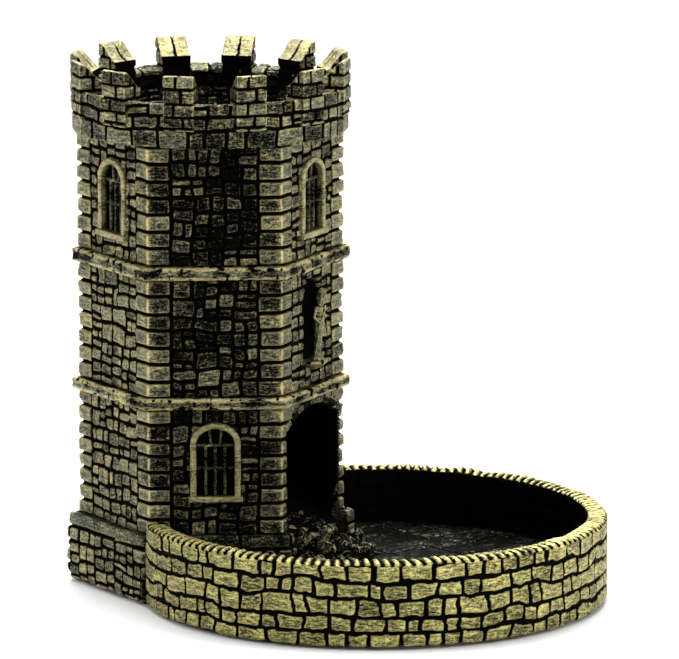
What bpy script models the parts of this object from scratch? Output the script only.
"""Castle dice tower with a round dice tray.

A six-sided tower of stacked wall tubes stands in the back of a round, low-walled tray. Dice dropped in
at the crown bounce off two sloping shelves, run down a ramp and roll out of the arch into the tray.

Frame: +Z up, -Y towards the tray, origin on the ground under the middle of the whole object.
Lengths are in millimetres and become metres where the meshes are made.
"""

from math import cos, pi, radians, sin, sqrt

import bmesh
import bpy

MM = 0.001

# ---- driving dimensions (millimetres) ----
GAP = 0.3                 # clearance between neighbouring pieces
GLUE_GAP = 0.3            # height of each bedding joint between stacked pieces
SIDES = 6

PAD_PROUD = 0.7           # how far the felt pads lift the casting off the ground
PAD_RADIUS = 5.0
PAD_HEIGHT = 1.5

PLINTH_CORNER = 53.2      # corner radius of the plinth
PLINTH_STONES_TOP = 21.0
LEDGE_CORNER = 52.2
LEDGE_TOP = 25.5
PLINTH_FLOOR = 8.0

WALL_CORNER = 48.0        # corner radius of the walls between the quoins
QUOIN_PROUD = 0.4         # how far the corner stones stand out of the walls
QUOIN_WIDTH = 8.0         # width of a corner stone on each face
BORE_APOTHEM = 36.5       # half the width across flats of the shaft inside

LOWER_STRING = (71.9, 76.3)     # bottom and top of the two projecting courses
UPPER_STRING = (119.5, 124.5)
STRING_CORNER = 51.0
LIP_HEIGHT = 2.5          # locating lips that centre each tube on its neighbour
LIP_THICKNESS = 2.2

PARAPET_BOTTOM = 168.0
CRENEL_SILL = 184.8
PARAPET_RADIUS = 50.4
PARAPET_INNER = 42.9
FUNNEL_TOP = 180.5
SPIGOT_RADIUS = 36.2      # round lip of the parapet, inside the shaft
MOUTH_RADIUS = 34.0
MERLONS = 12
MERLON_WIDTH = 11.2
MERLON_OUTER = 51.2
MERLON_INNER = 42.4
MERLON_FOOT = 174.9
MERLON_TOP = 194.9
MERLON_BACK_TOP = 188.6

ARCH_HALF = 21.0          # exit arch
ARCH_SPRING = 62.5
ARCH_APEX = 69.3

TRAY_RADIUS = 84.9
TRAY_SETBACK = 67.1       # from the tower's axis to the tray's axis
TRAY_INNER = 77.4
TRAY_FLOOR = 11.2
TRAY_TOP = 32.7

WINDOW_HALF = 9.2
WINDOW_HEIGHT = 27.2
WINDOW_RISE = 8.0
WINDOW_RECESS = 3.0
WINDOW_PROUD = 1.3
WINDOW_FRAME = 2.5
WINDOW_BAR = 1.1
WINDOW_BACK = 1.2         # thickness left behind the panes
SILL_HALF = 10.0
SILL_HEIGHT = 2.0
LOWER_SILL = 39.8         # top of each window sill
UPPER_SILL = 133.6

NICHE_HALF = 7.2
NICHE_BOTTOM = 84.0
NICHE_TOP = 115.5
NICHE_DEPTH = 3.2
BRACKET_TOP = 86.0
BRACKET_RADIUS = 5.6      # half-round shelf under the statue's feet
STATUE_HEIGHT = 26.4
STATUE_AXIS_PROUD = 2.6   # statue's axis in front of the wall

SHELF_THICKNESS = 3.0
SHELF_REACH = 3.0         # shelves stop this far past the tower's axis
SHELF_SLOPE = 0.655
UPPER_SHELF_ROOT = 150.0
MIDDLE_SHELF_ROOT = 106.0
TAB_WIDTH = 6.0
TAB_CENTRE = 13.0
TAB_DEPTH = 3.0

RAMP_TOP = 56.0
RAMP_TOE = 20.4
RAMP_THICKNESS = 4.0
NOTCH_BOTTOM = 16.0       # the plinth's threshold under the ramp's toe
RUBBLE_HEIGHT = 8.4       # the heap that leads from the threshold down to the tray's floor
RUBBLE_HALF = 25.0
RUBBLE_DEPTH = 18.0

# ---- sizes worked out from them ----
APOTHEM_RATIO = cos(pi / SIDES)
WALL_APOTHEM = WALL_CORNER * APOTHEM_RATIO
BORE_CORNER = BORE_APOTHEM / APOTHEM_RATIO
REBATE_CORNER = (BORE_APOTHEM + LIP_THICKNESS + GAP) / APOTHEM_RATIO
LIP_CORNER = (BORE_APOTHEM + LIP_THICKNESS) / APOTHEM_RATIO
PLINTH_APOTHEM = PLINTH_CORNER * APOTHEM_RATIO
MERLON_STEP = 360.0 / MERLONS
MERLON_TURN = radians(MERLON_STEP / 2)
CROWN_BACK = MERLON_OUTER * cos(MERLON_TURN) + MERLON_WIDTH / 2 * sin(MERLON_TURN)
TOWER_Y = (TRAY_SETBACK + TRAY_RADIUS - CROWN_BACK) / 2
TRAY_Y = TOWER_Y - TRAY_SETBACK
ARCH_FACE = -90.0         # azimuth of the face with the arch

# Faces, by the azimuth of their outward normals, with a window on each storey.
LOWER_WINDOWS = {"front_left": -150.0, "front_right": -30.0, "back": 90.0}
UPPER_WINDOWS = {"front": -90.0, "back_left": 150.0, "back_right": 30.0}


def clear_scene():
    for old in list(bpy.data.objects):
        bpy.data.objects.remove(old, do_unlink=True)


def make_material(name, colour, roughness, metallic):
    material = bpy.data.materials.new(name)
    material.use_nodes = True
    shader = material.node_tree.nodes["Principled BSDF"]
    shader.inputs["Base Color"].default_value = (*colour, 1.0)
    shader.inputs["Roughness"].default_value = roughness
    shader.inputs["Metallic"].default_value = metallic
    return material


def add_anchor(name, y):
    """An empty on a vertical axis; the pieces round that axis are its children."""
    anchor = bpy.data.objects.new(name, None)
    anchor.location = (0.0, y * MM, 0.0)
    bpy.context.collection.objects.link(anchor)
    return anchor


def add_object(name, mesh, parent, material=None, azimuth=None):
    """Places a mesh under an anchor; azimuth turns a piece made for the -Y face to another face."""
    obj = bpy.data.objects.new(name, mesh)
    obj.parent = parent
    if azimuth is not None:
        obj.rotation_euler[2] = radians(azimuth - ARCH_FACE)
    if material is not None:
        mesh.materials.clear()
        mesh.materials.append(material)
    bpy.context.collection.objects.link(obj)
    return obj


def boolean(target, tool, operation="DIFFERENCE"):
    """Cuts or joins a tool object into the target, keeps the result and removes the tool."""
    modifier = target.modifiers.new("cut", "BOOLEAN")
    modifier.operation = operation
    modifier.object = tool
    bpy.context.view_layer.update()
    graph = bpy.context.evaluated_depsgraph_get()
    result = bpy.data.meshes.new_from_object(target.evaluated_get(graph))
    target.modifiers.clear()
    target.data = result
    bpy.data.objects.remove(tool, do_unlink=True)


# ---- shapes ----

def ring_points(radius, z, sides):
    turn = 2 * pi / sides
    return [(radius * cos(turn * i), radius * sin(turn * i), z) for i in range(sides)]


def mesh_from_loops(name, loops, closed):
    """Joins loops of equal length by quads. A closed stack meets its first loop, an open one is capped."""
    shape = bmesh.new()
    rows = [[shape.verts.new([c * MM for c in point]) for point in loop] for loop in loops]
    pairs = list(zip(rows, rows[1:]))
    if closed:
        pairs.append((rows[-1], rows[0]))
    else:
        shape.faces.new(rows[0])
        shape.faces.new(rows[-1])
    count = len(rows[0])
    for low, high in pairs:
        for i in range(count):
            j = (i + 1) % count
            shape.faces.new((low[i], low[j], high[j], high[i]))
    bmesh.ops.recalc_face_normals(shape, faces=shape.faces)
    mesh = bpy.data.meshes.new(name)
    shape.to_mesh(mesh)
    shape.free()
    return mesh


def turned(name, profile, sides, closed=False):
    """A profile of (radius, z) points carried round the vertical axis."""
    return mesh_from_loops(name, [ring_points(r, z, sides) for r, z in profile], closed)


def prism(name, outline, z0, z1):
    """A plan outline of (x, y) points, extruded upwards."""
    return mesh_from_loops(name, [[(x, y, z) for x, y in outline] for z in (z0, z1)], closed=False)


def side_prism(name, outline, half_width):
    """An outline of (y, z) points in the tower's section, extruded to both sides along X."""
    return mesh_from_loops(name, [[(x, y, z) for y, z in outline] for x in (-half_width, half_width)], False)


def face_prism(name, outline, y0, y1):
    """An outline of (x, z) points drawn on the -Y face, extruded along Y."""
    return mesh_from_loops(name, [[(x, y, z) for x, z in outline] for y in (y0, y1)], closed=False)


def box(name, low, high):
    outline = [(low[0], low[1]), (high[0], low[1]), (high[0], high[1]), (low[0], high[1])]
    return prism(name, outline, low[2], high[2])


def shade_round(obj, angle=30.0):
    obj.data.shade_smooth()
    obj.data.set_sharp_from_angle(angle=radians(angle))


def round_head(half, spring, rise, steps=12):
    """Half an ellipse, from its right springing over the top to its left one."""
    points = []
    for i in range(steps + 1):
        angle = pi * i / steps
        points.append((half * cos(angle), spring + rise * sin(angle)))
    return points


def arched_outline(half, bottom, top, rise, steps=12):
    return [(-half, bottom), (half, bottom)] + round_head(half, top - rise, rise, steps)


def segment_outline(half, bottom, spring, apex, steps=14):
    """A doorway with a flat-curved head: one arc through both springings and the apex."""
    rise = apex - spring
    radius = (half * half + rise * rise) / (2 * rise)
    points = [(-half, bottom), (half, bottom)]
    for i in range(steps + 1):
        x = half * cos(pi * i / steps)
        points.append((x, apex - radius + sqrt(radius * radius - x * x)))
    return points


def quoined_outline():
    """The plan of a wall tube: a hexagon with a raised strip along both sides of each corner."""
    wall = WALL_APOTHEM
    quoin = wall + QUOIN_PROUD
    corner = quoin / APOTHEM_RATIO / 2
    inner = corner - QUOIN_WIDTH
    points = []
    for face in range(SIDES):
        normal = radians(60 * face + 30)
        for along, out in ((-corner, quoin), (-inner, quoin), (-inner, wall), (inner, wall), (inner, quoin)):
            x = out * cos(normal) - along * sin(normal)
            y = out * sin(normal) + along * cos(normal)
            points.append((x, y))
    return points


# ---- pieces ----

def build_tray(axis, tower_axis, material):
    """Round tray with a flat floor; a six-sided bay is cut out of its back for the plinth."""
    profile = [
        (TRAY_RADIUS - 1.2, PAD_PROUD),
        (TRAY_RADIUS, PAD_PROUD + 1.2),
        (TRAY_RADIUS, TRAY_TOP - 0.8),
        (TRAY_RADIUS - 0.8, TRAY_TOP),
        (TRAY_INNER, TRAY_TOP),
        (TRAY_INNER, TRAY_FLOOR),
    ]
    tray = add_object("tray", turned("tray", profile, 96), axis, material)
    bay = turned("bay", [(PLINTH_CORNER + GAP / APOTHEM_RATIO, z) for z in (-5.0, 60.0)], SIDES)
    boolean(tray, add_object("bay", bay, tower_axis))
    shade_round(tray)
    return tray


def build_plinth(axis, material):
    """Stone base with its ledge, a floor and, in the front, the notch that the dice leave by."""
    profile = [
        (PLINTH_CORNER, PAD_PROUD),
        (PLINTH_CORNER, PLINTH_STONES_TOP),
        (LEDGE_CORNER, PLINTH_STONES_TOP + 0.4),
        (LEDGE_CORNER, LEDGE_TOP - 0.9),
        (LEDGE_CORNER - 1.0, LEDGE_TOP),
        (LIP_CORNER, LEDGE_TOP),
        (LIP_CORNER, LEDGE_TOP + LIP_HEIGHT),
        (BORE_CORNER, LEDGE_TOP + LIP_HEIGHT),
        (BORE_CORNER, PLINTH_FLOOR),
    ]
    plinth = add_object("plinth", turned("plinth", profile, SIDES), axis, material)
    notch = box("notch", (-ARCH_HALF, -60.0, NOTCH_BOTTOM), (ARCH_HALF, -20.0, 60.0))
    boolean(plinth, add_object("notch", notch, axis))
    return plinth


def build_wall_tube(name, axis, material, bottom, top, rebates):
    """One storey: a quoined tube over the shaft, rebated at the named ends for the locating lips."""
    tube = add_object(name, prism(name, quoined_outline(), bottom, top), axis, material)
    depth = LIP_HEIGHT + GAP
    low = REBATE_CORNER if "bottom" in rebates else BORE_CORNER
    high = REBATE_CORNER if "top" in rebates else BORE_CORNER
    levels = [(low, bottom - 1.0), (low, bottom + depth)]
    levels += [(BORE_CORNER, bottom + depth + 0.01), (BORE_CORNER, top - depth - 0.01)]
    levels += [(high, top - depth), (high, top + 1.0)]
    boolean(tube, add_object("shaft", turned("shaft", levels, SIDES), axis))
    return tube


def cut_window_recess(tube, axis, azimuth, sill_top):
    outline = arched_outline(WINDOW_HALF + GAP, sill_top - GAP, sill_top + WINDOW_HEIGHT + GAP, WINDOW_RISE)
    recess = face_prism("recess", outline, -WALL_APOTHEM - 5.0, -WALL_APOTHEM + WINDOW_RECESS)
    boolean(tube, add_object("recess", recess, axis, azimuth=azimuth))


def cut_tab_slots(tube, axis, shelf_root, wall_side):
    """Two pockets in the shaft's wall that a shelf's tabs plug into."""
    for side in (-1, 1):
        centre = side * TAB_CENTRE
        half = TAB_WIDTH / 2 + GAP
        near = wall_side * (BORE_APOTHEM - 2.0)
        far = wall_side * (BORE_APOTHEM + TAB_DEPTH)
        low = (centre - half, min(near, far), shelf_root - SHELF_THICKNESS - GAP)
        high = (centre + half, max(near, far), shelf_root + GAP)
        boolean(tube, add_object("slot", box("slot", low, high), axis))


def build_lower_storey(axis, material):
    tube = build_wall_tube(
        "lower_storey", axis, material, LEDGE_TOP + GLUE_GAP, LOWER_STRING[0] - GLUE_GAP, ("bottom", "top")
    )
    outline = segment_outline(ARCH_HALF, LEDGE_TOP - 5.0, ARCH_SPRING, ARCH_APEX)
    doorway = face_prism("doorway", outline, -60.0, -20.0)
    boolean(tube, add_object("doorway", doorway, axis))
    for azimuth in LOWER_WINDOWS.values():
        cut_window_recess(tube, axis, azimuth, LOWER_SILL)
    return tube


def build_middle_storey(axis, material):
    bottom = LOWER_STRING[1] + GLUE_GAP
    top = UPPER_STRING[0] - GLUE_GAP
    tube = build_wall_tube("middle_storey", axis, material, bottom, top, ("bottom", "top"))
    outline = arched_outline(NICHE_HALF, NICHE_BOTTOM, NICHE_TOP, NICHE_HALF)
    niche = face_prism("niche", outline, -WALL_APOTHEM - 5.0, -WALL_APOTHEM + NICHE_DEPTH)
    boolean(tube, add_object("niche", niche, axis))
    cut_tab_slots(tube, axis, MIDDLE_SHELF_ROOT, wall_side=-1)
    return tube


def build_upper_storey(axis, material):
    bottom = UPPER_STRING[1] + GLUE_GAP
    tube = build_wall_tube("upper_storey", axis, material, bottom, PARAPET_BOTTOM - GLUE_GAP, ("bottom",))
    for azimuth in UPPER_WINDOWS.values():
        cut_window_recess(tube, axis, azimuth, UPPER_SILL)
    cut_tab_slots(tube, axis, UPPER_SHELF_ROOT, wall_side=1)
    return tube


def build_string_course(name, axis, material, bottom, top):
    """Projecting collar whose inner lip reaches into the tubes above and below."""
    profile = [
        (STRING_CORNER - 0.9, bottom),
        (STRING_CORNER, bottom + 0.9),
        (STRING_CORNER, top - 0.9),
        (STRING_CORNER - 0.9, top),
        (LIP_CORNER, top),
        (LIP_CORNER, top + LIP_HEIGHT),
        (BORE_CORNER, top + LIP_HEIGHT),
        (BORE_CORNER, bottom - LIP_HEIGHT),
        (LIP_CORNER, bottom - LIP_HEIGHT),
        (LIP_CORNER, bottom),
    ]
    return add_object(name, turned(name, profile, SIDES, closed=True), axis, material)


def merlon_block():
    """One battlement, on the -Y side of the axis: upright outside, its top falling inwards."""
    outline = [
        (-MERLON_OUTER, MERLON_FOOT),
        (-MERLON_OUTER, MERLON_TOP - 0.8),
        (-MERLON_OUTER + 0.8, MERLON_TOP),
        (-MERLON_OUTER + 2.2, MERLON_TOP - 0.3),
        (-MERLON_INNER - 0.6, MERLON_BACK_TOP),
        (-MERLON_INNER, MERLON_BACK_TOP - 0.8),
        (-MERLON_INNER, MERLON_FOOT),
    ]
    return side_prism("merlon", outline, MERLON_WIDTH / 2)


def build_parapet(axis, material):
    """Round crown: a ring with a funnel inside, a spigot that enters the shaft, and the merlons."""
    profile = [
        (SPIGOT_RADIUS, PARAPET_BOTTOM - LIP_HEIGHT),
        (SPIGOT_RADIUS, PARAPET_BOTTOM),
        (PARAPET_RADIUS, PARAPET_BOTTOM),
        (PARAPET_RADIUS, CRENEL_SILL),
        (PARAPET_INNER, CRENEL_SILL - 1.2),
        (PARAPET_INNER, FUNNEL_TOP),
        (MOUTH_RADIUS, PARAPET_BOTTOM),
        (MOUTH_RADIUS, PARAPET_BOTTOM - LIP_HEIGHT),
    ]
    parapet = add_object("parapet", turned("parapet", profile, 72, closed=True), axis, material)
    for i in range(MERLONS):
        azimuth = MERLON_STEP * (i + 0.5)
        boolean(parapet, add_object("merlon", merlon_block(), axis, azimuth=azimuth), "UNION")
    shade_round(parapet)
    return parapet


def window_mesh():
    """Arched frame with three mullions and two transoms in front of a thin back, over a sill."""
    back = -WALL_APOTHEM + WINDOW_RECESS - GAP
    front = -WALL_APOTHEM - WINDOW_PROUD
    outline = arched_outline(WINDOW_HALF, 0.0, WINDOW_HEIGHT, WINDOW_RISE)
    frame = add_object("window", face_prism("window", outline, front, back), None)
    sill_front = front - 0.6
    sill = box("sill", (-SILL_HALF, sill_front, -SILL_HEIGHT), (SILL_HALF, -WALL_APOTHEM - GAP, 0.5))
    boolean(frame, add_object("sill", sill, None), "UNION")
    inner_half = WINDOW_HALF - WINDOW_FRAME
    inner_top = WINDOW_HEIGHT - WINDOW_FRAME
    inner_bottom = 1.8
    light = arched_outline(inner_half, inner_bottom, inner_top, WINDOW_RISE - 1.5)
    columns = 4
    rows = 3
    pane_width = (2 * inner_half - (columns - 1) * WINDOW_BAR) / columns
    pane_height = (inner_top - inner_bottom - (rows - 1) * WINDOW_BAR) / rows
    for row in range(rows):
        for column in range(columns):
            x = -inner_half + column * (pane_width + WINDOW_BAR)
            z = inner_bottom + row * (pane_height + WINDOW_BAR)
            low = (x, front - 3.0, z)
            high = (x + pane_width, back - WINDOW_BACK, z + pane_height)
            pane = add_object("pane", box("pane", low, high), None)
            opening = face_prism("light", light, front - 4.0, back)
            boolean(pane, add_object("light", opening, None), "INTERSECT")
            boolean(frame, pane)
    mesh = frame.data
    bpy.data.objects.remove(frame, do_unlink=True)
    return mesh


def build_windows(axis, material):
    mesh = window_mesh()
    mesh.materials.clear()
    mesh.materials.append(material)
    storeys = (("lower", LOWER_WINDOWS, LOWER_SILL), ("upper", UPPER_WINDOWS, UPPER_SILL))
    for storey, faces, sill_top in storeys:
        for place, azimuth in faces.items():
            window = add_object(f"{storey}_window_{place}", mesh, axis, azimuth=azimuth)
            window.location.z = sill_top * MM


def build_bracket(axis, material):
    """Half-round corbel under the statue, set in the foot of the niche."""
    wall = -WALL_APOTHEM
    levels = ((2.0, -3.4), (4.2, -2.0), (BRACKET_RADIUS, -0.9), (BRACKET_RADIUS, 0.0))
    loops = []
    for radius, drop in levels:
        points = [(radius * cos(-pi * i / 12), wall + radius * sin(-pi * i / 12)) for i in range(13)]
        points += [(-radius, wall + NICHE_DEPTH - GAP), (radius, wall + NICHE_DEPTH - GAP)]
        loops.append([(x, y, BRACKET_TOP + drop) for x, y in points])
    mesh = mesh_from_loops("statue_bracket", loops, closed=False)
    bracket = add_object("statue_bracket", mesh, axis, material)
    keep = box("keep", (-NICHE_HALF + GAP, wall, NICHE_BOTTOM + GAP), (NICHE_HALF - GAP, wall + 5.0, 95.0))
    front = box("front", (-9.0, wall - 12.0, 75.0), (9.0, wall - GAP, 95.0))
    keeper = add_object("keep", keep, axis)
    boolean(keeper, add_object("front", front, axis), "UNION")
    link = box("link", (-5.0, wall - 1.0, NICHE_BOTTOM + GAP), (5.0, wall + 1.0, 95.0))
    boolean(keeper, add_object("link", link, axis), "UNION")
    boolean(bracket, keeper, "INTERSECT")
    return bracket


def build_statue(axis, material):
    """Robed standing figure: one closed body of oval sections from its hem to the top of its head."""
    sections = [
        # (height share, half width, half depth)
        (0.000, 3.3, 2.6),
        (0.040, 3.4, 2.7),
        (0.250, 2.9, 2.3),
        (0.450, 2.9, 2.3),
        (0.560, 2.4, 2.0),
        (0.660, 3.3, 2.2),
        (0.740, 4.0, 2.1),
        (0.790, 3.9, 1.9),
        (0.825, 2.2, 1.5),
        (0.850, 1.0, 1.0),
        (0.872, 1.0, 1.1),
        (0.895, 1.5, 1.7),
        (0.935, 1.75, 2.0),
        (0.975, 1.4, 1.6),
        (1.000, 0.5, 0.6),
    ]
    foot = BRACKET_TOP + GAP
    centre = -WALL_APOTHEM - STATUE_AXIS_PROUD
    loops = []
    for share, half_width, half_depth in sections:
        loop = []
        for i in range(20):
            angle = 2 * pi * i / 20
            point = (half_width * cos(angle), centre + half_depth * sin(angle), foot + share * STATUE_HEIGHT)
            loop.append(point)
        loops.append(loop)
    statue = add_object("niche_statue", mesh_from_loops("niche_statue", loops, closed=False), axis, material)
    shade_round(statue, 50.0)
    return statue


def shaft_plan():
    """The shaft's plan less the gap, as wide as a shelf may be."""
    radius = (BORE_APOTHEM - GAP) / APOTHEM_RATIO
    return [point[:2] for point in ring_points(radius, 0.0, SIDES)]


def build_shelf(name, axis, material, root, wall_side):
    """Sloping shelf across the shaft, held by two tabs in the wall that it falls away from."""
    start = wall_side * (BORE_APOTHEM + 2.0)
    end = -wall_side * SHELF_REACH
    rise = 2.0 * SHELF_SLOPE
    drop = (BORE_APOTHEM + SHELF_REACH) * SHELF_SLOPE
    upper = [(start, root + rise), (end, root - drop)]
    lower = [(y, z - SHELF_THICKNESS - 0.6) for y, z in reversed(upper)]
    shelf = add_object(name, side_prism(name, upper + lower, 45.0), axis, material)
    plan = prism("plan", shaft_plan(), root - 60.0, root + 60.0)
    boolean(shelf, add_object("plan", plan, axis), "INTERSECT")
    for side in (-1, 1):
        near = wall_side * (BORE_APOTHEM - 1.5)
        far = wall_side * (BORE_APOTHEM + TAB_DEPTH - GAP)
        low = (side * TAB_CENTRE - TAB_WIDTH / 2, min(near, far), root - SHELF_THICKNESS)
        high = (side * TAB_CENTRE + TAB_WIDTH / 2, max(near, far), root)
        boolean(shelf, add_object("tab", box("tab", low, high), axis), "UNION")
    return shelf


def build_ramp(axis, material):
    """Ramp from the back of the shaft down through the arch, on a leg that stands on the plinth's floor."""
    back = BORE_APOTHEM - GAP
    front = -PLINTH_APOTHEM + 0.6
    thickness = RAMP_THICKNESS
    slope = (RAMP_TOP - RAMP_TOE) / (back - front)
    foot = PLINTH_FLOOR + GAP
    under_front = -BORE_APOTHEM + GAP
    step = NOTCH_BOTTOM + GAP
    outline = [
        (back, foot),
        (back, RAMP_TOP),
        (front, RAMP_TOE),
        (front, step),
        (under_front, step),
        (under_front, foot),
        (under_front + 6.0, foot),
        (back - thickness, RAMP_TOP - thickness * slope - 2 * thickness),
        (back - thickness, foot),
    ]
    ramp = add_object("exit_ramp", side_prism("exit_ramp", outline, 45.0), axis, material)
    passage = ARCH_HALF - GAP
    hexagon = shaft_plan()
    plan = [point for point in hexagon if point[1] > -1.0]
    front_corners = [point for point in hexagon if point[1] < -1.0]
    left = min(front_corners)
    right = max(front_corners)
    plan += [left, (-passage, left[1]), (-passage, front - 1.0)]
    plan += [(passage, front - 1.0), (passage, right[1]), right]
    boolean(ramp, add_object("plan", prism("plan", plan, 0.0, 80.0), axis), "INTERSECT")
    return ramp


def build_rubble(axis, material):
    """Heap of rock at the arch's foot: a grid of humps over a flat bed, highest against the plinth."""
    half = RUBBLE_HALF
    depth = RUBBLE_DEPTH
    columns = 16
    rows = 7
    base = TRAY_FLOOR + GAP
    wall = -PLINTH_APOTHEM - 2 * GAP
    shape = bmesh.new()

    def height(across, out):
        fall = RUBBLE_HEIGHT * (1 - out) ** 0.9
        side = 1.0 - 0.45 * across ** 4
        humps = 0.9 * sin(9.0 * across + 5.0 * out) * cos(7.0 * out - 3.0 * across)
        return max(0.8, fall * side + humps * out * (1 - out) * 3 + 0.8)

    tops = []
    beds = []
    for row in range(rows + 1):
        out = row / rows
        top_row = []
        bed_row = []
        for column in range(columns + 1):
            across = 2 * column / columns - 1
            reach = depth * sqrt(max(0.0, 1 - 0.55 * across * across))
            x = half * across
            y = wall - reach * out
            top_row.append(shape.verts.new((x * MM, y * MM, (base + height(across, out)) * MM)))
            bed_row.append(shape.verts.new((x * MM, y * MM, base * MM)))
        tops.append(top_row)
        beds.append(bed_row)
    for row in range(rows):
        for column in range(columns):
            for grid in (tops, beds):
                corners = (grid[row][column], grid[row][column + 1])
                shape.faces.new((*corners, grid[row + 1][column + 1], grid[row + 1][column]))
    border = [(0, c) for c in range(columns)] + [(r, columns) for r in range(rows)]
    border += [(rows, c) for c in range(columns, 0, -1)] + [(r, 0) for r in range(rows, 0, -1)]
    for (r0, c0), (r1, c1) in zip(border, border[1:] + border[:1]):
        shape.faces.new((tops[r0][c0], tops[r1][c1], beds[r1][c1], beds[r0][c0]))
    bmesh.ops.recalc_face_normals(shape, faces=shape.faces)
    mesh = bpy.data.meshes.new("rubble_apron")
    shape.to_mesh(mesh)
    shape.free()
    return add_object("rubble_apron", mesh, axis, material)


def build_pads(tray, plinth, tray_axis, tower_axis, material):
    """Felt pads, each let into a shallow round pocket in the underside of its casting."""
    places = {
        "pad_tray_front": (tray, tray_axis, (0.0, -70.0)),
        "pad_tray_left": (tray, tray_axis, (-62.0, -20.0)),
        "pad_tray_right": (tray, tray_axis, (62.0, -20.0)),
        "pad_tower_left": (plinth, tower_axis, (-30.0, 20.0)),
        "pad_tower_right": (plinth, tower_axis, (30.0, 20.0)),
    }
    for name, (casting, axis, (x, y)) in places.items():
        pocket = turned("pocket", [(PAD_RADIUS + GAP, z) for z in (-1.0, PAD_HEIGHT + GAP)], 24)
        cutter = add_object("pocket", pocket, axis)
        cutter.location = (x * MM, y * MM, 0.0)
        boolean(casting, cutter)
        pad = add_object(name, turned(name, [(PAD_RADIUS, z) for z in (0.0, PAD_HEIGHT)], 24), axis, material)
        pad.location = (x * MM, y * MM, 0.0)
        shade_round(pad)


def build():
    clear_scene()
    tower_axis = add_anchor("tower_axis", TOWER_Y)
    tray_axis = add_anchor("tray_axis", TRAY_Y)
    stone = make_material("walls_black_and_gold", (0.22, 0.18, 0.08), 0.45, 0.6)
    moulding = make_material("mouldings_gold", (0.34, 0.28, 0.13), 0.40, 0.7)
    tray_stone = make_material("tray_black_and_gold", (0.30, 0.25, 0.11), 0.42, 0.65)
    inside = make_material("inside_black", (0.012, 0.012, 0.012), 0.5, 0.0)
    felt = make_material("felt_black", (0.02, 0.02, 0.02), 0.95, 0.0)

    tray = build_tray(tray_axis, tower_axis, tray_stone)
    plinth = build_plinth(tower_axis, stone)
    build_lower_storey(tower_axis, stone)
    build_string_course("lower_string_course", tower_axis, moulding, *LOWER_STRING)
    build_middle_storey(tower_axis, stone)
    build_string_course("upper_string_course", tower_axis, moulding, *UPPER_STRING)
    build_upper_storey(tower_axis, stone)
    build_parapet(tower_axis, stone)
    build_windows(tower_axis, moulding)
    build_bracket(tower_axis, moulding)
    build_statue(tower_axis, moulding)
    build_shelf("upper_shelf", tower_axis, inside, UPPER_SHELF_ROOT, wall_side=1)
    build_shelf("middle_shelf", tower_axis, inside, MIDDLE_SHELF_ROOT, wall_side=-1)
    build_ramp(tower_axis, inside)
    build_rubble(tower_axis, tray_stone)
    build_pads(tray, plinth, tray_axis, tower_axis, felt)


build()
